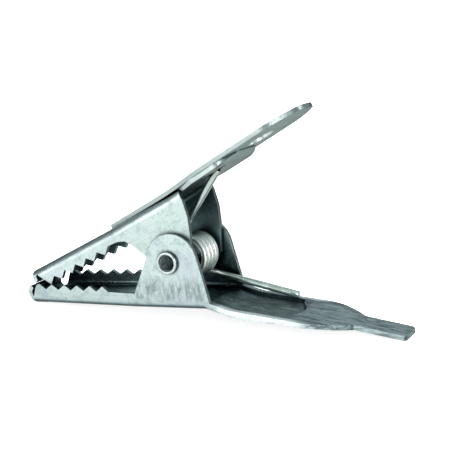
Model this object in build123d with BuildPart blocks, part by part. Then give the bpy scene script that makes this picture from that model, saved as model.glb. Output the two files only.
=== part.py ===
from build123d import *
from math import atan2, cos, degrees, pi, radians, sin, sqrt
import os

os.makedirs("parts", exist_ok=True)

# Alligator clip, all sizes in millimetres.
# Origin: on the rivet axis, midway across the clip. +X runs toward the handles, +Y across, +Z up.
# Each jaw is drawn in its own tilted frame: x along the jaw, depth away from the rivet toward the web.

# ---------------------------------------------------------------- driving dimensions
sheet = 0.6                  # steel of both jaws
plate_sheet = 0.55           # steel of the upper finger plate
wire = 0.95                  # spring wire diameter
bend = 1.2                   # outside radius of the folded edges
lower_tilt = 4.1             # rise of the lower jaw's web toward the handles, degrees
upper_tilt = 28.1            # rise of the upper jaw's web toward the handles, degrees

ear_half = 5.2               # half width outside the lower jaw's ears
nose_half = 4.3              # half width outside the lower jaw at the nose
taper_start = -6.0           # the jaws narrow from here to the nose
wall_gap = 0.12              # side play between upper and lower walls
nose_x = -21.7               # front edge of the side walls
lower_web = 6.15             # rivet axis to the underside of the lower web
upper_web = 7.5              # rivet axis to the top of the upper web at the nose
tooth_pitch = 2.1
teeth = 6

rivet_radius = 1.25          # shank
rivet_bore = 1.0
rivet_flange = 1.48
running_gap = 0.05           # play of the upper walls on the shank
lobe_radius = 2.8            # upper walls round the rivet
ear_radius = 3.5

handle_half = 5.15           # half width of the lower handle
tab_half = 2.1               # half width of the solder tab
tab_end = 29.4
trough_depth = 0.45
trough_end = 16.0
tongue_end = 14.6            # rear end of the upper jaw's tongue
plate_half = 5.4             # half width of the upper finger plate
plate_start = -6.6
plate_end = 24.3
handle_hole = 1.75           # radius of the hole in the finger plate
hole_x = 16.9
thinning_start = 11.9        # from here the tongue is pressed thin toward its end
tongue_tip = 0.15            # its thickness there
hook_x = 10.6                # the spring's upper arm hooks into the tongue here
hook_hole = 0.65
hook_depth = 7.5
arm_end = (14.0, -5.28)      # tip of the lower arm, on the far rim of the lower handle

coil_x, coil_z = 0.42, -0.3  # the coil hangs a little behind and below the rivet
coil_radius = 2.4            # to the middle of the wire
coil_near, coil_far = -1.0, 3.05


def side_plane(tilt, down):
    """Sketch plane of a jaw's side view: x along the jaw, y is depth from the rivet to the web."""
    along = (cos(radians(tilt)), 0, sin(radians(tilt)))
    return Plane(origin=(0, 0, 0), x_dir=along, z_dir=(0, 1 if down else -1, 0))


def web_plane(side):
    """Sketch plane of the same jaw's plan view, at the rivet's level."""
    return Plane(origin=(0, 0, 0), x_dir=side.x_dir, z_dir=side.y_dir)


def mirrored(points):
    """A plan outline from its points on one side, front to rear."""
    return points + [(x, -y) for x, y in reversed(points)]


def channel(side, web, half_widths, inset, radius):
    """Solid channel block: web outline and plan outline, both set in by inset, web edges rounded."""
    plan = web_plane(side)
    front, rear = web[0], web[-1]
    outline = [(x, depth - inset) for x, depth in web] + [(rear[0], -12), (front[0], -12)]
    with BuildPart() as block:
        with BuildSketch(side):
            Polygon(*outline, align=None)
        extrude(amount=2 * ear_half, both=True)
        with BuildSketch(plan):
            Polygon(*mirrored([(x, half - inset) for x, half in half_widths]), align=None)
        extrude(amount=20, both=True, mode=Mode.INTERSECT)
        long_edges = block.edges().filter_by(
            lambda edge: plan.to_local_coords(edge.center()).Z > web[0][1] - 1.5
            and abs(edge.center().Y) > nose_half - 2 * sheet - 0.3
            and abs(edge.tangent_at(0.5).Y) < 0.5
            and edge.length > 2
        )
        fillet(long_edges, radius)
    return block.part


def saw_teeth(first_x, tip_depth, valley_depth):
    """Zigzag of tooth tips and valleys along a wall's edge, nose to rear."""
    points = []
    for index in range(teeth):
        tip_x = first_x + index * tooth_pitch
        points.append((tip_x, tip_depth))
        points.append((tip_x + tooth_pitch / 2, valley_depth))
    return points


def curled_lip(side, centre_x, web_depth, radius, wrap, half_width):
    """Nose lip: the web runs forward and curls round toward the other jaw."""
    centre_depth = web_depth - radius
    end_angle = 90 + wrap
    with BuildPart() as lip:
        with BuildSketch(side):
            with BuildLine():
                outer = CenterArc((centre_x, centre_depth), radius, 90, wrap)
                inner = CenterArc((centre_x, centre_depth), radius - sheet, 90, wrap)
                Line(outer @ 1, inner @ 1)
                Polyline(outer @ 0, (nose_x + 1, web_depth), (nose_x + 1, web_depth - sheet), inner @ 0)
            make_face()
        extrude(amount=half_width, both=True)
        end_edges = lip.edges().filter_by(Axis.Y).sort_by(
            lambda edge: (side.to_local_coords(edge.center())
                          - Vector(centre_x + radius * cos(radians(end_angle)),
                                   centre_depth + radius * sin(radians(end_angle)))).length
        )
        fillet(end_edges[0:2], 0.15)
    return lip.part


# ---------------------------------------------------------------- lower jaw, handle and solder tab
lower_side = side_plane(lower_tilt, down=True)
lower_plan = web_plane(lower_side)
ear_rear = 5.35
rim_line = [(4.6, 5.0), (8.0, 6.05), (19.5, 7.55), (tab_end + 0.2, 9.4)]       # top of the handle sheet
lower_widths = [(nose_x - 1, nose_half), (taper_start, ear_half), (ear_rear + 0.5, ear_half)]
lower_line = [(nose_x - 0.8, lower_web), (ear_rear + 0.5, lower_web)]

lower_block = channel(lower_side, lower_line, lower_widths, 0, bend)
lower_hollow = channel(
    lower_side,
    [(nose_x - 3, lower_web), (ear_rear + 3, lower_web)],
    [(nose_x - 3, nose_half - 0.05), (taper_start, ear_half), (ear_rear + 3, ear_half)],
    sheet,
    bend - sheet,
)


def handle_strip(drop, thickness):
    """Bent strip that follows the handle's top surface, lowered by drop."""
    top = [(x, depth + drop) for x, depth in rim_line]
    with BuildPart() as strip:
        with BuildSketch(lower_side):
            with BuildLine():
                upper_edge = FilletPolyline(*top, radius=6)
                lower_edge = FilletPolyline(*[(x, depth + thickness) for x, depth in top], radius=6)
                Line(upper_edge @ 0, lower_edge @ 0)
                Line(upper_edge @ 1, lower_edge @ 1)
            make_face()
        extrude(amount=2 * ear_half, both=True)
    return strip.part


def trough_outline(grow):
    """Plan outline of the trough: nearly as wide as the channel, narrowing to a rounded end."""
    with BuildSketch(lower_plan) as outline:
        with BuildLine():
            side_a = Line((3.8, 4.2 + grow), (9.5, 4.2 + grow))
            nose_a = Spline(
                (9.5, 4.2 + grow), (trough_end - 1.4, 3.0 + 0.7 * grow), (trough_end + grow, 0),
                (trough_end - 1.4, -3.0 - 0.7 * grow), (9.5, -4.2 - grow),
                tangents=[(1, 0), (-1, 0)],
            )
            side_b = Line((9.5, -4.2 - grow), (3.8, -4.2 - grow))
            Line(side_b @ 1, side_a @ 0)
        make_face()
    return outline.sketch


with BuildPart() as handle_sheet:
    add(handle_strip(0, sheet))
    with BuildSketch(lower_plan):
        with BuildLine():
            for flip in (1, -1):
                side_line = Line((4.6, flip * handle_half), (17.6, flip * handle_half))
                shoulder = ThreePointArc(
                    side_line @ 1, (20.7, flip * 3.95), (23.0, flip * tab_half)
                )
                Line(shoulder @ 1, (tab_end, flip * tab_half))
            Line((4.6, handle_half), (4.6, -handle_half))
            Line((tab_end, tab_half), (tab_end, -tab_half))
        outline = make_face()
        fillet(outline.vertices().group_by(Axis.X)[-1], 0.6)
    extrude(amount=20, both=True, mode=Mode.INTERSECT)

with BuildPart() as trough_floor:
    add(handle_strip(trough_depth, sheet))
    extrude(trough_outline(0.45), amount=20, both=True, mode=Mode.INTERSECT)

with BuildPart() as trough_space:
    add(handle_strip(trough_depth - 4, 4))
    extrude(trough_outline(0), amount=20, both=True, mode=Mode.INTERSECT)

with BuildPart() as lower_jaw:
    add(lower_block)
    add(lower_hollow, mode=Mode.SUBTRACT)
    # the rear of the channel's web hands over to the trough floor
    with BuildSketch(lower_side) as wall_outline:
        with BuildLine():
            Polyline(
                (nose_x - 0.75, lower_web - 0.2), (nose_x - 0.1, 4.0), (nose_x + 0.25, 3.5),
                *saw_teeth(nose_x + 0.7, 3.4, 4.1)[:-1],
                (-9.6, 4.1), (-5.4, 4.15), (-5.4, 8), (nose_x, 8), (nose_x - 0.75, lower_web - 0.2),
            )
        make_face()
        Polygon((-5.5, 4.15), (-5.4, 4.1), (-5.4, 8), (-5.5, 8), align=None)
        with Locations((0.55, -0.15)):
            Circle(ear_radius)
        Polygon(
            (-5.5, 4.15), (-5.37, 4.05), (-2.78, -1.3), (4.0, -0.85), (ear_rear, 5.25),
            (ear_rear, 8), (-5.5, 8), align=None,
        )
    extrude(amount=2 * ear_half, both=True, mode=Mode.INTERSECT)
    add(curled_lip(lower_side, nose_x - 0.7, lower_web, 1.3, 145, nose_half - sheet - 0.25))
    add(handle_sheet.part)
    add(trough_floor.part)
    add(trough_space.part, mode=Mode.SUBTRACT)
    with BuildSketch(lower_side):
        Circle(rivet_radius)
    extrude(amount=2 * ear_half, both=True, mode=Mode.SUBTRACT)
lower_jaw.part.label = "lower_jaw"

# ---------------------------------------------------------------- line of the spring wire
def tangent_angle(point, turn):
    """Angle on the coil, seen from -Y, where a straight arm to the point leaves it."""
    dx, dz = point[0] - coil_x, point[1] - coil_z
    return degrees(atan2(dz, dx)) + turn * degrees(atan2(sqrt(dx * dx + dz * dz - coil_radius ** 2), coil_radius))


def arm_reach(point):
    """Length of the straight arm in side view."""
    return sqrt((point[0] - coil_x) ** 2 + (point[1] - coil_z) ** 2 - coil_radius ** 2)


upper_side = side_plane(upper_tilt, down=False)
upper_plan = web_plane(upper_side)
hook = upper_side.from_local_coords(Vector(hook_x, hook_depth, 0))
coil_start = tangent_angle((hook.X, hook.Z), 1)
coil_stop = tangent_angle(arm_end, -1) + 360
turns = 4 + (coil_stop - coil_start) / 360
spring_pitch = (coil_far - coil_near) / turns
lead = spring_pitch / (2 * pi * coil_radius)                  # sideways drift of the wire per length
hook_y = coil_near - lead * arm_reach((hook.X, hook.Z))

# ---------------------------------------------------------------- upper jaw with its rear tongue
inner = sheet + wall_gap
wall_rear = 5.5
plate_line = [(plate_start, 7.3), (3.0, 7.5), (12.0, 8.1), (19.5, 8.56), (plate_end, 8.9)]   # underside


def web_top(x):
    """Depth of the web's top behind the kink where the plate lies on it."""
    first = sum(x > corner[0] for corner in plate_line[1:-1])
    (x0, d0), (x1, d1) = plate_line[first:first + 2]
    return d0 + (d1 - d0) * (x - x0) / (x1 - x0)


wall_web = [(nose_x, upper_web), plate_line[0], plate_line[1], (wall_rear, web_top(wall_rear))]
upper_half = ear_half - inner
upper_widths = [(nose_x - 1, nose_half - inner), (taper_start, upper_half), (wall_rear + 1, upper_half)]

upper_block = channel(upper_side, wall_web, upper_widths, 0, bend)
upper_hollow = channel(
    upper_side,
    [(nose_x - 2, upper_web + 0.03)] + wall_web[1:3] + [(wall_rear + 3, web_top(wall_rear + 3))],
    [(nose_x - 2, nose_half - inner - 0.05), (taper_start, upper_half), (wall_rear + 3, upper_half)],
    sheet,
    bend - sheet,
)

with BuildPart() as tongue:
    with BuildSketch(upper_side):
        tongue_top = [(x, web_top(x)) for x in (0.5, plate_line[1][0], plate_line[2][0], tongue_end)]
        tongue_under = [(x, web_top(x) - sheet) for x in (thinning_start, plate_line[1][0], 0.5)]
        Polygon(*tongue_top, (tongue_end, web_top(tongue_end) - tongue_tip), *tongue_under, align=None)
    extrude(amount=2 * ear_half, both=True)
    with BuildSketch(upper_plan):
        with BuildLine():
            for flip in (1, -1):
                root = (wall_rear - 1.0, flip * (upper_half - bend * 0.8))
                flare = ThreePointArc(root, (wall_rear + 0.9, flip * 4.25), (wall_rear + 2.6, flip * 5.1))
                edge = Line(flare @ 1, (tongue_end - 3.1, flip * 5.3))
                Spline(
                    edge @ 1, (tongue_end - 0.8, flip * 3.7), (tongue_end, flip * 2.0),
                    tangents=[(1, 0), (0.1, -flip)],
                )
                Line(root, (0.5, flip * 3.2))
            Line((0.5, 3.2), (0.5, -3.2))
            Line((tongue_end, 2.0), (tongue_end, -2.0))
        make_face()
    extrude(amount=20, both=True, mode=Mode.INTERSECT)

with BuildPart() as upper_jaw:
    add(upper_block)
    add(upper_hollow, mode=Mode.SUBTRACT)
    with BuildSketch(upper_side):
        with BuildLine():
            Polyline(
                (nose_x, 10), (nose_x, 6.9), (nose_x + 0.9, 6.75),
                *saw_teeth(nose_x + 2.5, 4.65, 5.5),
                (-6.1, 5.4), (-4.9, 5.0), (-4.4, 4.4), (-2.4, 0.9), (3.4, 0.2),
                (4.3, 1.85), (5.1, 3.9), (wall_rear + 0.1, 6.6), (wall_rear + 0.1, 10), (nose_x, 10),
            )
        make_face()
        Circle(lobe_radius)
        Polygon((-2.4, 0.9), (1.4, -2.42), (2.4, -1.75), (3.4, 0.2), align=None)
    extrude(amount=2 * ear_half, both=True, mode=Mode.INTERSECT)
    add(curled_lip(upper_side, nose_x + 0.3, upper_web - 0.005, 1.1, 120, nose_half - inner - sheet - 0.25))
    add(tongue.part)
    with BuildSketch(upper_side):
        Circle(rivet_radius + running_gap)
    extrude(amount=2 * ear_half, both=True, mode=Mode.SUBTRACT)
    with BuildSketch(upper_plan):
        with Locations((hook_x - 0.35, hook_y)):
            SlotOverall(2.9, 2 * hook_hole)
    extrude(amount=20, mode=Mode.SUBTRACT)
upper_jaw.part.label = "upper_jaw"

# ---------------------------------------------------------------- upper finger plate
with BuildPart() as upper_handle:
    with BuildSketch(upper_side):
        with BuildLine():
            under = FilletPolyline(*plate_line, radius=60)
            over = FilletPolyline(*[(x, depth + plate_sheet) for x, depth in plate_line], radius=60)
            Line(under @ 0, over @ 0)
            Line(under @ 1, over @ 1)
        make_face()
    extrude(amount=2 * ear_half, both=True)
    with BuildSketch(upper_plan):
        with BuildLine():
            for flip in (1, -1):
                front = Line((plate_start, flip * 3.2), (5.0, flip * 4.2))
                flare = Spline(
                    front @ 1, (8.2, flip * 5.1), (12.0, flip * plate_half),
                    tangents=[(11.6, flip * 1.0), (1, 0)],
                )
                edge = Line(flare @ 1, (16.5, flip * plate_half))
                Spline(
                    edge @ 1, (20.9, flip * 5.0), (23.3, flip * 3.2), (plate_end, 0),
                    tangents=[(1, 0), (0, -flip)],
                )
            Line((plate_start, 3.2), (plate_start, -3.2))
        make_face()
        with Locations((hole_x, 0)):
            Circle(handle_hole, mode=Mode.SUBTRACT)
    extrude(amount=20, both=True, mode=Mode.INTERSECT)
upper_handle.part.label = "upper_handle"

# ---------------------------------------------------------------- hollow rivet
flange_roll = 0.24           # radius of the rolled rim

with BuildPart() as pivot_rivet:
    with BuildSketch(Plane.XZ):
        Circle(rivet_radius)
        Circle(rivet_bore, mode=Mode.SUBTRACT)
    extrude(amount=ear_half, both=True)
    for end in (1, -1):
        with BuildSketch(Plane.XY):
            with Locations((rivet_flange - flange_roll, end * (ear_half + flange_roll))):
                Circle(flange_roll)
            with Locations((rivet_flange - flange_roll, end * (ear_half + flange_roll / 2))):
                Rectangle(2 * (rivet_flange - flange_roll - rivet_bore), flange_roll)
        revolve(axis=Axis.Y)
pivot_rivet.part.label = "pivot_rivet"

# ---------------------------------------------------------------- torsion spring
start_plane = Plane(
    origin=(coil_x, coil_near, coil_z),
    x_dir=(cos(radians(coil_start)), 0, sin(radians(coil_start))),
    z_dir=(0, 1, 0),
)
helix = start_plane.location * Helix(spring_pitch, coil_far - coil_near, coil_radius, lefthand=True)
arms = (
    (helix @ 0, (helix % 0) * -1, arm_reach((hook.X, hook.Z))),
    (helix @ 1, helix % 1, arm_reach(arm_end)),
)

with BuildPart() as torsion_spring:
    with BuildSketch(Plane(origin=helix @ 0, z_dir=helix % 0)):
        Circle(wire / 2)
    sweep(path=helix, is_frenet=True)
    for root, direction, reach in arms:
        with BuildSketch(Plane(origin=root, z_dir=direction)):
            Circle(wire / 2)
        extrude(amount=reach)
torsion_spring.part.label = "torsion_spring"

# ---------------------------------------------------------------- files
for piece in (lower_jaw, upper_jaw, upper_handle, pivot_rivet, torsion_spring):
    export_step(piece.part, f"parts/{piece.part.label}.step")
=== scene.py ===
import math

import bpy
from mathutils import Matrix, Vector


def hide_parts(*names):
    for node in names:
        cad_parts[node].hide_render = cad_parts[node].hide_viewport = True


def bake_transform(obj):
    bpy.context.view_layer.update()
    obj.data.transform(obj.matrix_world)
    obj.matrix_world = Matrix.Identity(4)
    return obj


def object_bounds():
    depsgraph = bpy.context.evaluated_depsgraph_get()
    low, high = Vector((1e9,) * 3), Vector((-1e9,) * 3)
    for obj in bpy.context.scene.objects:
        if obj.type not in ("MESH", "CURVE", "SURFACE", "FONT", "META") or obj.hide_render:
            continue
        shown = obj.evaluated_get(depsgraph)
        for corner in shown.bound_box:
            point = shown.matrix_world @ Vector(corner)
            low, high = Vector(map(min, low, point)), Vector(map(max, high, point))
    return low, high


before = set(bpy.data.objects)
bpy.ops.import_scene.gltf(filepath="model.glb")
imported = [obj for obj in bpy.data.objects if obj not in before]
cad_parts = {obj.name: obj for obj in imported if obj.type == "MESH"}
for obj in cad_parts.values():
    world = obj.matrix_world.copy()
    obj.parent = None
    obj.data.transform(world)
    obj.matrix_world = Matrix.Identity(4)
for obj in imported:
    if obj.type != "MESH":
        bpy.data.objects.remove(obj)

cad_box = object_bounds()
MM = 0.001

# ---------------------------------------------------------------- measures in millimetres, as in the CAD
LOWER_TILT, UPPER_TILT = 4.1, 28.1     # rise of each jaw's web toward the handles, degrees
NOSE_X, TAPER_X = -21.7, -6.0          # the walls narrow between these, along the jaw
NOSE_HALF, EAR_HALF = 4.3, 5.2         # half widths outside the walls
HOLE_X, HOLE_RADIUS = 16.9, 1.75       # hole in the finger plate
BORE_RADIUS, RIM_RADIUS = 1.0, 1.48    # bore and rolled rim of the rivet

# The spring is a helix about a line just behind the rivet, with two straight arms along its tangents.
WIRE = 0.95
COIL_X, COIL_Z, COIL_RADIUS = 0.42, -0.3, 2.4
COIL_NEAR, COIL_FAR = -1.0, 3.05       # y of the two ends of the coil
FULL_TURNS = 4
HOOK_X, HOOK_DEPTH = 10.6, 7.5         # tip of the upper arm, in the upper jaw's own tilted frame
ARM_END = (14.0, -5.28)                # tip of the lower arm, x and z

# ---------------------------------------------------------------- zones of the finish, painted shade and painted highlights, in millimetres
# Each is (where it begins, where it's full). X runs along the tilted sheet, Z is square to it, and SIDE is
# the distance out from the clip's middle.
EAR_Z, EAR_X = (-5.3, -4.6), (-6.2, -5.4)
SMEAR_Z = (-1.4, -3.2)
BRUSHED_X = (5.0, 8.0)
TROUGH_SIDE, TROUGH_START_X, TROUGH_END_X = (4.2, 4.0), (2.5, 4.5), (15.9, 15.4)
FLANGE_SIDE, FLANGE_START_X, FLANGE_END_X = (4.15, 4.5), (5.6, 6.6), (18.5, 16.0)
# beyond these the painted crevice shade stops
OPEN_HANDLE_X, OPEN_PLATE_X = (5.0, 7.0), (10.0, 12.0)
TONGUE_X, TONGUE_END_X = (2.5, 4.5), (10.5, 13.0)
# painted highlight on the upper jaw toward its nose
NOSE_HIGHLIGHT_X = (-7.0, -17.0)
HOLE_WALL = (HOLE_RADIUS + 0.06, HOLE_RADIUS + 0.02)
SHEARED_DEPTH = 1.35                   # how far in from the outside the sheared edges reach

# ---------------------------------------------------------------- colours
# pale plating, dull plating and a broad tint of each sheet
LOWER_ZINC = ((0.78, 0.90, 0.88), (0.50, 0.62, 0.62), (0.70, 0.76, 0.83))
UPPER_ZINC = ((0.76, 0.88, 0.85), (0.54, 0.66, 0.63), (0.72, 0.77, 0.82))
PLATE_ZINC = ((0.66, 0.77, 0.74), (0.40, 0.50, 0.47), (0.50, 0.64, 0.57))
WORN_METAL_AND_HIGHLIGHT = (0.86, 0.93, 0.92)              # bright worn metal on the jaws' edges, and a painted highlight on the lower handle's flanges
RIM = (0.52, 0.59, 0.58)               # sheared edge of the finger plate
PAINTED_DARK = (0.13, 0.17, 0.18)           # painted shade in the trough, round the rivet's rim and along the finger plate's edges, and a painted dark reflection on the walls' sheared edges
# painted light: the wall of the finger plate's hole is painted near white, as the light seen through the hole
HOLE_PAINTED_LIGHT = (0.98, 0.99, 0.98)
HOLLOW_SHADE_CAST = (0.7, 1.0, 1.08)         # painted slate shade on the metal between the walls
# the coil is painted lighter than the arms, painted light on the coil and painted shade on the arms of one
# wire; each mixes a pale and a stained dull tone
LIT_COIL_PALE, LIT_COIL_DULL = (0.97, 0.99, 0.95), (0.86, 0.91, 0.85)
SHADED_ARM_PALE, SHADED_ARM_DULL = (0.68, 0.76, 0.74), (0.50, 0.58, 0.50)
DRAW_MARK, WIRE_EDGE = (0.33, 0.36, 0.34), (0.95, 0.96, 0.94)
RIVET_PALE, RIVET_DULL = (0.86, 0.92, 0.91), (0.60, 0.68, 0.67)
# the bore's two tones are painted shade inside the hole, laid in patches
BORE_PALE, BORE_DARK = (0.70, 0.77, 0.77), (0.22, 0.28, 0.30)
WHITE = (1.0, 1.0, 1.0)

# ---------------------------------------------------------------- node helpers


def sockets(collection, kind):
    return [socket for socket in collection if socket.type == kind]


def shade(colour, factor):
    return [factor * c for c in colour]


class Nodes:
    """Shorthand for building one node tree from empty."""

    def __init__(self, tree):
        self.nodes, self.links = tree.nodes, tree.links
        self.nodes.clear()

    def add(self, kind, **settings):
        node = self.nodes.new(kind)
        for key, value in settings.items():
            setattr(node, key, value)
        return node

    def put(self, socket, value):
        if isinstance(value, bpy.types.NodeSocket):
            self.links.new(value, socket)
        else:
            socket.default_value = value

    def fit(self, value, low, high, to_low=0.0, to_high=1.0, smooth=False):
        """value from low..high mapped to to_low..to_high, held at the ends."""
        node = self.add("ShaderNodeMapRange", clamp=True)
        if smooth:
            node.interpolation_type = "SMOOTHSTEP"
        for name, number in (("From Min", low), ("From Max", high), ("To Min", to_low), ("To Max", to_high)):
            node.inputs[name].default_value = number
        self.put(node.inputs["Value"], value)
        return node.outputs["Result"]

    def zone(self, value, limits, to_low=0.0, to_high=1.0):
        """Mask over a coordinate in metres, with its limits in millimetres."""
        return self.fit(value, limits[0] * MM, limits[1] * MM, to_low, to_high)

    def math(self, operation, a, b=0.0):
        node = self.add("ShaderNodeMath", operation=operation)
        self.put(node.inputs[0], a)
        self.put(node.inputs[1], b)
        return node.outputs["Value"]

    def distance(self, a, b, centre=(0.0, 0.0)):
        """Distance from a centre in millimetres, over two coordinates in metres."""
        offsets = [self.math("SUBTRACT", value, middle * MM) for value, middle in zip((a, b), centre)]
        squares = [self.math("POWER", offset, 2.0) for offset in offsets]
        return self.math("SQRT", self.math("ADD", *squares))

    def all_of(self, *masks):
        result = masks[0]
        for mask in masks[1:]:
            result = self.math("MULTIPLY", result, mask)
        return result

    def mix(self, factor, a, b, how="MIX"):
        """Colours a and b, each a socket or three numbers, mixed by factor."""
        node = self.add("ShaderNodeMix", data_type="RGBA", blend_type=how)
        self.put(node.inputs["Factor"], factor)
        for socket, colour in zip(sockets(node.inputs, "RGBA"), (a, b)):
            self.put(socket, colour if isinstance(colour, bpy.types.NodeSocket) else (*colour, 1))
        return sockets(node.outputs, "RGBA")[0]

    def blend(self, factor, a, b):
        """Values a and b mixed by factor."""
        node = self.add("ShaderNodeMix", data_type="FLOAT")
        for socket, value in zip(sockets(node.inputs, "VALUE"), (factor, a, b)):
            self.put(socket, value)
        return sockets(node.outputs, "VALUE")[0]

    def scaled(self, colour, factor):
        node = self.add("ShaderNodeVectorMath", operation="SCALE")
        self.links.new(colour, node.inputs[0])
        self.put(node.inputs["Scale"], factor)
        return node.outputs["Vector"]

    def split(self, vector):
        node = self.add("ShaderNodeSeparateXYZ")
        self.links.new(vector, node.inputs["Vector"])
        return node.outputs["X"], node.outputs["Y"], node.outputs["Z"]


class Surface(Nodes):
    """A node material on one Principled shader, built from object coordinates in metres."""

    def __init__(self, name, tilt=0.0):
        self.material = bpy.data.materials.new(name)
        self.material.use_nodes = True
        super().__init__(self.material.node_tree)
        self.output = self.add("ShaderNodeOutputMaterial")
        self.shader = self.add("ShaderNodeBsdfPrincipled")
        self.links.new(self.shader.outputs["BSDF"], self.output.inputs["Surface"])
        self.coords = self.add("ShaderNodeTexCoord").outputs["Object"]
        # x runs along the tilted sheet
        turned = self.add("ShaderNodeMapping")
        turned.inputs["Rotation"].default_value = (0, math.radians(tilt), 0)
        self.links.new(self.coords, turned.inputs["Vector"])
        self.along = turned.outputs["Vector"]

    def give(self, **values):
        """Puts numbers, colours or node outputs on the shader: base_color is its Base Color, and so on."""
        for name, value in values.items():
            self.put(self.shader.inputs[name.replace("_", " ").title()], value)

    def noise(self, size, detail=3.0, roughness=0.55, distortion=0.0, stretch=(1, 1, 1), shift=0.0):
        """Noise whose features are about size millimetres, drawn out by stretch along each axis."""
        drawn_out = self.add("ShaderNodeMapping")
        drawn_out.inputs["Scale"].default_value = [1 / factor for factor in stretch]
        self.links.new(self.along, drawn_out.inputs["Vector"])
        node = self.add("ShaderNodeTexNoise", noise_dimensions="4D")
        self.links.new(drawn_out.outputs["Vector"], node.inputs["Vector"])
        node.inputs["W"].default_value = shift
        node.inputs["Scale"].default_value = 1 / (size * MM)
        node.inputs["Detail"].default_value = detail
        node.inputs["Roughness"].default_value = roughness
        node.inputs["Distortion"].default_value = distortion
        return node.outputs["Fac"]

    def rounded_edges(self, radius):
        """Normal rounded over sharp edges, and a mask that is 1 on those edges."""
        bevel = self.add("ShaderNodeBevel", samples=6)
        bevel.inputs["Radius"].default_value = radius * MM
        geometry = self.add("ShaderNodeNewGeometry")
        dot = self.add("ShaderNodeVectorMath", operation="DOT_PRODUCT")
        self.links.new(bevel.outputs["Normal"], dot.inputs[0])
        self.links.new(geometry.outputs["Normal"], dot.inputs[1])
        return bevel.outputs["Normal"], self.fit(dot.outputs["Value"], 0.995, 0.9)

    def occlusion_shade(self, distance, darkest, low, high):
        """Painted shade: a factor from ambient occlusion that falls from 1 in the open to darkest deep inside
        folds and between walls.
        """
        node = self.add("ShaderNodeAmbientOcclusion", samples=8)
        node.inputs["Distance"].default_value = distance * MM
        return self.fit(node.outputs["AO"], low, high, darkest, 1.0)

    def bump(self, height, depth, normal):
        """Relief of the given depth in millimetres."""
        node = self.add("ShaderNodeBump")
        node.inputs["Strength"].default_value = 1.0
        node.inputs["Distance"].default_value = depth * MM
        self.links.new(height, node.inputs["Height"])
        self.links.new(normal, node.inputs["Normal"])
        return node.outputs["Normal"]


# ---------------------------------------------------------------- metals


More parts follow.
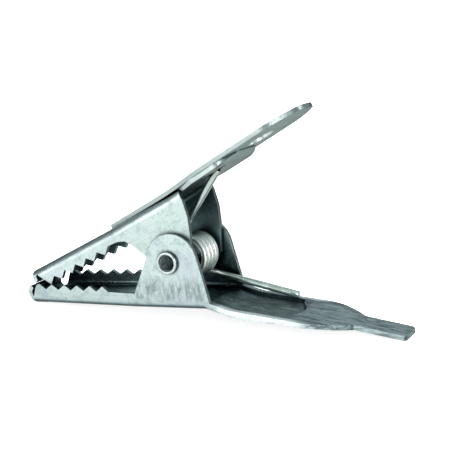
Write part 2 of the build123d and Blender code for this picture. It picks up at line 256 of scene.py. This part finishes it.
class Sheet(Surface):
    """Zinc plated sheet: cloudy plating, rolling streaks, speckle, scuffs, painted shade in the folds and
    between the walls, colour laid on the sharp edges.

    The masks are shared by all sheets, and each method adds its marks to self.colour.
    """

    def __init__(self, name, tilt, pale, dull, tint, gloss):
        super().__init__(name, tilt)
        self.give(metallic=1.0)
        self.dull, self.gloss = dull, gloss
        self.x, self.y, self.z = self.split(self.along)
        self.side = self.math("ABSOLUTE", self.y)
        normal_y = self.split(self.add("ShaderNodeNewGeometry").outputs["True Normal"])[1]
        self.facing = self.math("ABSOLUTE", normal_y)
        outward = self.math("MULTIPLY", normal_y, self.math("SIGN", self.y))
        self.outside = self.fit(outward, 0.75, 0.95)
        # the walls were rubbed smoother than the folds and the flats
        self.calm = self.fit(self.facing, 0.5, 0.8, 1.0, 0.3)
        self.cloud = self.noise(1.7, detail=6, roughness=0.64, distortion=1.0)
        self.speckle = self.noise(0.24, detail=3, roughness=0.75, shift=1.7)
        self.lines = self.noise(0.15, detail=3, stretch=(16, 1, 1), shift=5.2)
        self.broad_lines = self.noise(0.42, detail=4, roughness=0.65, distortion=0.3, stretch=(9, 1, 1),
                                      shift=8.4)
        scuffs = self.noise(0.45, detail=5, roughness=0.7, distortion=1.6, stretch=(2.5, 1, 1), shift=9.6)
        self.scuffs = self.fit(scuffs, 0.58, 0.68)
        hue = self.noise(5.5, detail=2, shift=3.1)
        self.colour = self.mix(self.fit(self.cloud, 0.46, 0.66, smooth=True), pale, dull)
        self.colour = self.mix(self.fit(hue, 0.42, 0.62, 0.0, 0.7), self.colour, tint)

    def mark(self, mask, colour, strength=None):
        """Lays a colour over the sheet where the mask is 1, as strongly as the strength says."""
        if strength is not None:
            mask = self.math("MULTIPLY", mask, strength)
        self.colour = self.mix(mask, self.colour, colour)

    def stains(self):
        """Rolling streaks, broad and fine, then speckle and scuffs."""
        streaks = self.fit(self.broad_lines, 0.5, 0.66, 0.0, 0.7)
        self.mark(self.calm, shade(self.dull, 0.6), streaks)
        fine_streaks = self.fit(self.lines, 0.5, 0.66, 0.0, 0.35)
        self.mark(self.calm, shade(self.dull, 0.5), fine_streaks)
        self.mark(self.fit(self.speckle, 0.56, 0.7, 0.0, 0.45), shade(self.dull, 0.35))
        self.mark(self.scuffs, shade(self.dull, 0.42), self.math("MULTIPLY", self.calm, 0.6))

    def sheared_walls(self):
        """The sheared edges of the walls are painted dark, a painted dark reflection, and the wall narrows
        toward the nose.
        """
        wall = self.fit(self.x, NOSE_X * MM, TAPER_X * MM, NOSE_HALF * MM, EAR_HALF * MM)
        outer = self.math("GREATER_THAN", self.side, self.math("SUBTRACT", wall, SHEARED_DEPTH * MM))
        self.mark(self.all_of(outer, self.fit(self.facing, 0.35, 0.2)), PAINTED_DARK, 0.55)

    def edge_wear_and_shade(self, colour):
        """Lays the given colour on the sharp edges, worn bright metal on the jaws and a painted shade line on
        the finger plate, and keeps their rounded normal for the relief.
        """
        self.normal, edge = self.rounded_edges(0.08)
        self.mark(edge, colour, self.fit(self.speckle, 0.4, 0.6, 0.9, 0.25))

    def painted_shade(self, open_x):
        """Painted shade between the walls and in the crevices: only a little on the outer faces, and no
        crevice shade beyond open_x.
        """
        # painted shade from ambient occlusion, with a slate cast between the walls, and painted shade lines
        # in the crevices
        hollow_shade = self.occlusion_shade(8.0, 0.05, 0.36, 0.84)
        hollow_shade = self.math("MAXIMUM", hollow_shade, self.math("MULTIPLY", self.outside, 0.92))
        shade_cast = self.fit(hollow_shade, 0.2, 0.9, 1.0, 0.0)
        self.colour = self.mix(shade_cast, self.scaled(self.colour, hollow_shade), HOLLOW_SHADE_CAST, "MULTIPLY")
        crevice_shade = self.math("MAXIMUM", self.occlusion_shade(0.9, 0.08, 0.4, 0.85), self.zone(self.x, open_x))
        self.colour = self.scaled(self.colour, crevice_shade)

    def finished(self, flange=None):
        """Sets the shader. The flange, given as a mask, is rougher and less metallic."""
        cloudy = self.fit(self.cloud, 0.3, 0.7, *self.gloss)
        rough = self.math("ADD", cloudy, self.fit(self.lines, 0.3, 0.7, -0.05, 0.07))
        rough = self.math("ADD", rough, self.math("MULTIPLY", self.scuffs, 0.16))
        if flange:
            rough = self.math("ADD", rough, self.math("MULTIPLY", flange, 0.3))
            self.give(metallic=self.fit(flange, 0.0, 1.0, 1.0, 0.6))
        fine, broad = self.math("MULTIPLY", self.lines, 0.5), self.math("MULTIPLY", self.broad_lines, 2.0)
        height = self.math("MULTIPLY", self.math("ADD", fine, broad), self.calm)
        height = self.math("ADD", height, self.math("MULTIPLY", self.speckle, 0.35))
        height = self.math("ADD", height, self.math("MULTIPLY", self.cloud, 2.5))
        height = self.math("SUBTRACT", height, self.math("MULTIPLY", self.scuffs, 0.5))
        self.give(base_color=self.colour, roughness=rough, normal=self.bump(height, 0.014, self.normal))
        return self.material


def lower_sheet():
    """The ears were rolled across the part, the nose and the handle along it."""
    s = Sheet("zinc_lower", LOWER_TILT, *LOWER_ZINC, gloss=(0.24, 0.36))
    ear = s.all_of(s.zone(s.z, EAR_Z), s.zone(s.x, EAR_X))
    across = s.noise(0.5, detail=5, roughness=0.7, distortion=0.8, stretch=(1, 1, 4), shift=2.4)
    s.broad_lines = s.blend(ear, s.broad_lines, across)
    s.lines = s.blend(ear, s.lines, s.noise(0.15, detail=3, stretch=(1, 1, 9), shift=6.6))
    s.stains()
    # dark smears on the lower half of the ears
    s.mark(s.all_of(ear, s.zone(s.z, SMEAR_Z), s.fit(across, 0.44, 0.58)), shade(s.dull, 0.4), 0.6)
    # brushed handle and tab
    brushed = s.noise(0.42, detail=5, roughness=0.65, distortion=0.4, stretch=(11, 1, 1), shift=7.3)
    s.mark(s.all_of(s.fit(brushed, 0.46, 0.58), s.zone(s.x, BRUSHED_X)), shade(s.dull, 0.36), 0.85)
    # painted shade in the trough, and a painted highlight on the flanges beside it, which are also rougher
    # and less metallic
    trough = s.all_of(s.zone(s.side, TROUGH_SIDE), s.zone(s.x, TROUGH_END_X), s.zone(s.x, TROUGH_START_X))
    s.mark(trough, PAINTED_DARK, s.fit(s.broad_lines, 0.42, 0.6, 1.0, 0.4))
    flange = s.all_of(s.zone(s.side, FLANGE_SIDE), s.zone(s.x, FLANGE_START_X), s.zone(s.x, FLANGE_END_X))
    s.mark(flange, WORN_METAL_AND_HIGHLIGHT, s.fit(s.speckle, 0.45, 0.6, 0.85, 0.4))
    s.sheared_walls()
    s.edge_wear_and_shade(WORN_METAL_AND_HIGHLIGHT)
    s.painted_shade(OPEN_HANDLE_X)
    return s.finished(flange)


def upper_sheet():
    """Painted highlight toward the nose, painted shade on the tongue under the finger plate."""
    s = Sheet("zinc_upper", UPPER_TILT, *UPPER_ZINC, gloss=(0.26, 0.38))
    s.stains()
    s.sheared_walls()
    s.edge_wear_and_shade(WORN_METAL_AND_HIGHLIGHT)
    s.painted_shade(OPEN_PLATE_X)
    # painted shade on the tongue under the finger plate, kept off the walls, and a painted highlight toward
    # the nose
    tongue = s.math("MAXIMUM", s.zone(s.x, TONGUE_X, 1.0, 0.6), s.zone(s.x, TONGUE_END_X, 0.0, 0.84))
    tongue = s.math("MAXIMUM", tongue, s.fit(s.facing, 0.4, 0.8))
    s.colour = s.scaled(s.colour, s.math("MULTIPLY", tongue, s.zone(s.x, NOSE_HIGHLIGHT_X, 1.0, 1.14)))
    return s.finished()


def plate_sheet():
    """The sheared rim of the finger plate is bright between its two sharp edges, which are painted dark as
    lines of painted shade.
    """
    s = Sheet("zinc_plate", UPPER_TILT, *PLATE_ZINC, gloss=(0.24, 0.34))
    s.stains()
    s.mark(s.all_of(s.fit(s.facing, 0.3, 0.6), s.fit(s.speckle, 0.5, 0.62, 1.0, 0.4)), RIM)
    # the sharp edges are painted dark, lines of painted shade
    s.edge_wear_and_shade(PAINTED_DARK)
    # the hole's wall is painted near white, painted light seen through the hole
    s.mark(s.zone(s.distance(s.x, s.y, (HOLE_X, 0.0)), HOLE_WALL), HOLE_PAINTED_LIGHT)
    s.painted_shade(OPEN_PLATE_X)
    return s.finished()


def bright_wire():
    """Drawn spring wire: the coil painted light and the arms painted darker, painted light and shade on one
    wire, with olive stains, faint draw marks and painted shade between the turns.
    """
    s = Surface("bright_spring_wire")
    stain = s.noise(1.8, detail=4, distortion=0.6)
    grain = s.noise(0.12, detail=3, roughness=0.65, shift=2.2)
    x, _, z = s.split(s.coords)
    from_axis = s.distance(x, z, (COIL_X, COIL_Z))
    arm = s.fit(from_axis, (COIL_RADIUS + WIRE / 2) * MM, (COIL_RADIUS + 2.2) * MM, smooth=True)
    dulled = s.fit(stain, 0.4, 0.62, smooth=True)
    colour = s.mix(arm, s.mix(dulled, LIT_COIL_PALE, LIT_COIL_DULL), s.mix(dulled, SHADED_ARM_PALE, SHADED_ARM_DULL))
    colour = s.mix(s.fit(grain, 0.55, 0.75, 0.0, 0.35), colour, DRAW_MARK)
    normal, edge = s.rounded_edges(0.06)
    # painted shade between the turns, from ambient occlusion
    colour = s.scaled(s.mix(edge, colour, WIRE_EDGE), s.occlusion_shade(0.4, 0.5, 0.15, 0.6))
    rough = s.math("SUBTRACT", s.fit(stain, 0.3, 0.7, 0.32, 0.42), s.math("MULTIPLY", arm, 0.16))
    s.give(base_color=colour, roughness=rough, metallic=1.0, normal=s.bump(grain, 0.003, normal))
    return s.material


def rolled_rivet():
    """Tube rivet: its rolled rim is bright between two lines of painted shadow, with painted shade where it
    meets the ear, and the bore is painted darker, painted shade in the hole, in pale and dark patches.
    """
    s = Surface("burnished_rivet")
    s.give(metallic=1.0)
    stain = s.noise(0.8, detail=4, distortion=0.5)
    grain = s.noise(0.1, detail=2, shift=4.4)
    x, _, z = s.split(s.coords)
    radius = s.distance(x, z)
    inside = s.zone(radius, (BORE_RADIUS + 0.04, BORE_RADIUS + 0.01))
    ring = s.all_of(s.zone(radius, (BORE_RADIUS + 0.08, BORE_RADIUS + 0.16)),
                    s.zone(radius, (RIM_RADIUS - 0.04, RIM_RADIUS - 0.12)))
    burnished = s.mix(s.fit(stain, 0.4, 0.65, smooth=True), RIVET_PALE, RIVET_DULL)
    # the rim is painted dark outside the bright ring, painted shadow lines, and darkened by painted shade
    # from ambient occlusion
    rim = s.scaled(s.mix(ring, PAINTED_DARK, burnished), s.occlusion_shade(0.5, 0.05, 0.4, 0.85))
    # the bore's darker colour is painted shade inside the hole
    bore = s.mix(s.fit(stain, 0.42, 0.58), BORE_PALE, BORE_DARK)
    normal, _ = s.rounded_edges(0.04)
    s.give(base_color=s.mix(inside, rim, bore), metallic=s.fit(inside, 0.0, 1.0, 1.0, 0.8),
           roughness=s.fit(stain, 0.3, 0.7, 0.16, 0.34), normal=s.bump(grain, 0.003, normal))
    return s.material


finishes = {"lower_jaw": lower_sheet(), "upper_jaw": upper_sheet(), "upper_handle": plate_sheet(),
            "pivot_rivet": rolled_rivet()}
for node_name, material in finishes.items():
    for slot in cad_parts[node_name].material_slots:
        slot.material = material

# ---------------------------------------------------------------- torsion spring
STEPS_PER_TURN = 48
STEPS_PER_ARM = 12
SIDES = 20                             # facets round the wire
END_CHAMFER = 0.06


def arm_reach(point):
    """Length of the straight arm from the coil to the point."""
    return math.sqrt((point[0] - COIL_X) ** 2 + (point[1] - COIL_Z) ** 2 - COIL_RADIUS ** 2)


def tangent_angle(point, turn):
    """Angle on the coil, seen from -Y, where a straight arm to the point leaves it."""
    return math.atan2(point[1] - COIL_Z, point[0] - COIL_X) + turn * math.atan2(arm_reach(point), COIL_RADIUS)


def spring_line():
    """Points along the middle of the wire and its direction there, from the hooked end to the lower end."""
    tilt = math.radians(UPPER_TILT)
    hook = (HOOK_X * math.cos(tilt) - HOOK_DEPTH * math.sin(tilt),
            HOOK_X * math.sin(tilt) + HOOK_DEPTH * math.cos(tilt))
    first = tangent_angle(hook, 1)
    last = tangent_angle(ARM_END, -1) + math.tau
    turns = FULL_TURNS + (last - first) / math.tau
    sweep = turns * math.tau
    steps = round(turns * STEPS_PER_TURN)
    points, tangents = [], []
    pitch = (COIL_FAR - COIL_NEAR) / turns
    lead = pitch / (math.tau * COIL_RADIUS)
    for i in range(steps + 1):
        angle = first + sweep * i / steps
        points.append(Vector((COIL_X + COIL_RADIUS * math.cos(angle),
                              COIL_NEAR + (COIL_FAR - COIL_NEAR) * i / steps,
                              COIL_Z + COIL_RADIUS * math.sin(angle))))
        tangents.append(Vector((-math.sin(angle), lead, math.cos(angle))).normalized())
    head = points[0] - tangents[0] * arm_reach(hook)
    tail = points[-1] + tangents[-1] * arm_reach(ARM_END)
    head_run = [head.lerp(points[0], i / STEPS_PER_ARM) for i in range(STEPS_PER_ARM)]
    tail_run = [points[-1].lerp(tail, (i + 1) / STEPS_PER_ARM) for i in range(STEPS_PER_ARM)]
    directions = [tangents[0]] * STEPS_PER_ARM + tangents + [tangents[-1]] * STEPS_PER_ARM
    return head_run + points + tail_run, directions


def wire_mesh(name, line, directions, radius, chamfer):
    """Closed round tube along the line, with a small chamfer round each end face."""
    first, last = directions[0], directions[-1]
    stations = [(line[0], first, radius - chamfer), (line[0] + first * chamfer, first, radius)]
    stations += [(p, d, radius) for p, d in zip(line[1:-1], directions[1:-1])]
    stations += [(line[-1] - last * chamfer, last, radius), (line[-1], last, radius - chamfer)]
    vertices, faces = [], []
    side = Vector((0, 1, 0))
    for centre, direction, reach in stations:
        side = (side - direction * side.dot(direction)).normalized()
        other = direction.cross(side)
        for k in range(SIDES):
            turn = math.tau * k / SIDES
            vertices.append((centre + (side * math.cos(turn) + other * math.sin(turn)) * reach) * MM)
    for i in range(len(stations) - 1):
        for k in range(SIDES):
            a, b = i * SIDES + k, i * SIDES + (k + 1) % SIDES
            faces.append((a, b, b + SIDES, a + SIDES))
    faces.append(tuple(reversed(range(SIDES))))
    faces.append(tuple(range(len(vertices) - SIDES, len(vertices))))
    mesh = bpy.data.meshes.new(name)
    mesh.from_pydata(vertices, [], faces)
    for polygon in mesh.polygons:
        polygon.use_smooth = len(polygon.vertices) == 4      # the end faces stay flat
    mesh.update()
    piece = bpy.data.objects.new(name, mesh)
    bpy.context.scene.collection.objects.link(piece)
    return piece


spring = wire_mesh("torsion_spring_wire", *spring_line(), WIRE / 2, END_CHAMFER)
spring.data.materials.append(bright_wire())
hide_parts("torsion_spring")
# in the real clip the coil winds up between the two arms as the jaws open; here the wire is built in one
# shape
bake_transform(spring)

# ---------------------------------------------------------------- floor
REACH = 6.0                            # half the floor's width, metres
FLOOR_GLOW = 0.85                      # lifts the shadow on the pale table
FLOOR_PALE, FLOOR_SHADE = (0.9, 0.9, 0.9), (0.88, 0.88, 0.88)
FRONT_TABLE, BACK_TABLE = (0.87, 0.93, 0.92), (0.30, 0.36, 0.35)
TABLE_FALL_Y = (-20, 50)               # millimetres

floor_z = cad_box[0][2]
floor_mesh = bpy.data.meshes.new("floor")
floor_mesh.from_pydata([(-REACH, -REACH, floor_z), (REACH, -REACH, floor_z), (REACH, REACH, floor_z),
                        (-REACH, REACH, floor_z)], [], [(0, 1, 2, 3)])
floor = bpy.data.objects.new("floor", floor_mesh)
bpy.context.scene.collection.objects.link(floor)
paint = Surface("pale_floor")
paint.give(base_color=paint.mix(paint.noise(40, detail=2), FLOOR_PALE, FLOOR_SHADE), roughness=0.9,
           emission_color=(*WHITE, 1), emission_strength=FLOOR_GLOW)
paint.shader.inputs["Specular IOR Level"].default_value = 0.0
# mirrored in the metal, the table is lit in front of the clip and falls off into a dim room behind it
table_y = paint.split(paint.coords)[1]
falling = paint.fit(table_y, TABLE_FALL_Y[0] * MM, TABLE_FALL_Y[1] * MM, smooth=True)
mirrored = paint.add("ShaderNodeEmission")
paint.links.new(paint.mix(falling, FRONT_TABLE, BACK_TABLE), mirrored.inputs["Color"])
table = paint.add("ShaderNodeMixShader")
paint.links.new(paint.add("ShaderNodeLightPath").outputs["Is Glossy Ray"], table.inputs["Fac"])
paint.links.new(paint.shader.outputs["BSDF"], table.inputs[1])
paint.links.new(mirrored.outputs["Emission"], table.inputs[2])
paint.links.new(table.outputs["Shader"], paint.output.inputs["Surface"])
floor_mesh.materials.append(paint.material)

# ---------------------------------------------------------------- light
END_TINT, MIDDLE_TINT = (0.86, 0.98, 1.02), (0.82, 0.98, 1.03)
ROOM_ENDS = ((0.0, 0.05), (1.0, 0.75))                        # height above the horizon and its grey
ROOM_MIDDLE = ((0.22, 0.10), (0.45, 0.30), (0.62, 0.42))

world = bpy.data.worlds.new("studio")
world.use_nodes = True
bpy.context.scene.world = world
room = Nodes(world.node_tree)
_, toward_back, height = room.split(room.add("ShaderNodeTexCoord").outputs["Generated"])
ramp = room.add("ShaderNodeValToRGB")
room.links.new(height, ramp.inputs["Fac"])
for element, (stop, grey) in zip(ramp.color_ramp.elements, ROOM_ENDS):
    element.position = stop
    element.color = (*shade(END_TINT, grey), 1)
for stop, grey in ROOM_MIDDLE:
    ramp.color_ramp.elements.new(stop).color = (*shade(MIDDLE_TINT, grey), 1)
# brightest in front of the clip, a little lighter again behind it and overhead
strength = room.math("ADD", room.fit(toward_back, 0.1, -0.6, 0.42, 1.6), room.fit(toward_back, 0.3, 0.8))
strength = room.math("ADD", strength, room.fit(height, 0.6, 0.95, 0.0, 0.6))
lit_room = room.scaled(ramp.outputs["Color"], strength)
seen = room.add("ShaderNodeLightPath").outputs["Is Camera Ray"]
background = room.add("ShaderNodeBackground")
room.links.new(room.mix(seen, lit_room, WHITE), background.inputs["Color"])
world_output = room.add("ShaderNodeOutputWorld")
room.links.new(background.outputs["Background"], world_output.inputs["Surface"])


def soft_light(name, direction, distance, size, power, colour=WHITE):
    """A rectangular softbox that faces the clip from the given direction, in metres and watts."""
    light = bpy.data.lights.new(name, "AREA")
    light.shape = "RECTANGLE"
    light.size, light.size_y = size
    light.energy = power
    light.color = colour
    lamp = bpy.data.objects.new(name, light)
    offset = Vector(direction).normalized() * distance
    lamp.location = Vector(((cad_box[0][0] + cad_box[1][0]) / 2, 0, 0)) + offset
    lamp.rotation_euler = offset.to_track_quat("Z", "Y").to_euler()
    bpy.context.scene.collection.objects.link(lamp)


soft_light("key", (-0.52, -0.84, 0.14), 0.5, (0.50, 0.22), 0.6)
soft_light("fill", (0.70, -0.70, 0.22), 0.5, (0.26, 0.20), 0.7)
soft_light("rim", (0.80, 0.55, 0.30), 0.6, (0.16, 0.30), 0.5, (0.95, 0.98, 1.0))
sun_light = bpy.data.lights.new("overhead", "SUN")
sun_light.energy = 4.8
sun_light.angle = math.radians(45)
sun = bpy.data.objects.new("overhead", sun_light)
sun.rotation_euler = Vector((0.05, -0.25, 1.0)).to_track_quat("Z", "Y").to_euler()
sun.visible_glossy = False             # it lights the table; the metal mirrors the room
bpy.context.scene.collection.objects.link(sun)

# ---------------------------------------------------------------- camera
LENS, SENSOR, NEAREST = 87.2, 36, 0.005
DISTANCE = 141.7 * MM
TARGET = Vector((4.05, 3.08, 3.41)) * MM
azimuth, elevation, roll = math.radians(26.92), math.radians(12.06), math.radians(1.92)

back = Vector((math.sin(azimuth) * math.cos(elevation), -math.cos(azimuth) * math.cos(elevation),
               math.sin(elevation)))
level = Vector((math.cos(azimuth), math.sin(azimuth), 0))
upright = back.cross(level)
up = upright * math.cos(roll) + level * math.sin(roll)
right = up.cross(back)
lens = bpy.data.cameras.new("camera")
lens.lens = LENS
lens.sensor_width = SENSOR
lens.clip_start = NEAREST
camera = bpy.data.objects.new("camera", lens)
place = Matrix((right, up, back)).transposed().to_4x4()
place.translation = TARGET + back * DISTANCE
camera.matrix_world = place
bpy.context.scene.collection.objects.link(camera)
bpy.context.scene.camera = camera
bpy.context.scene.view_settings.view_transform = "Standard"
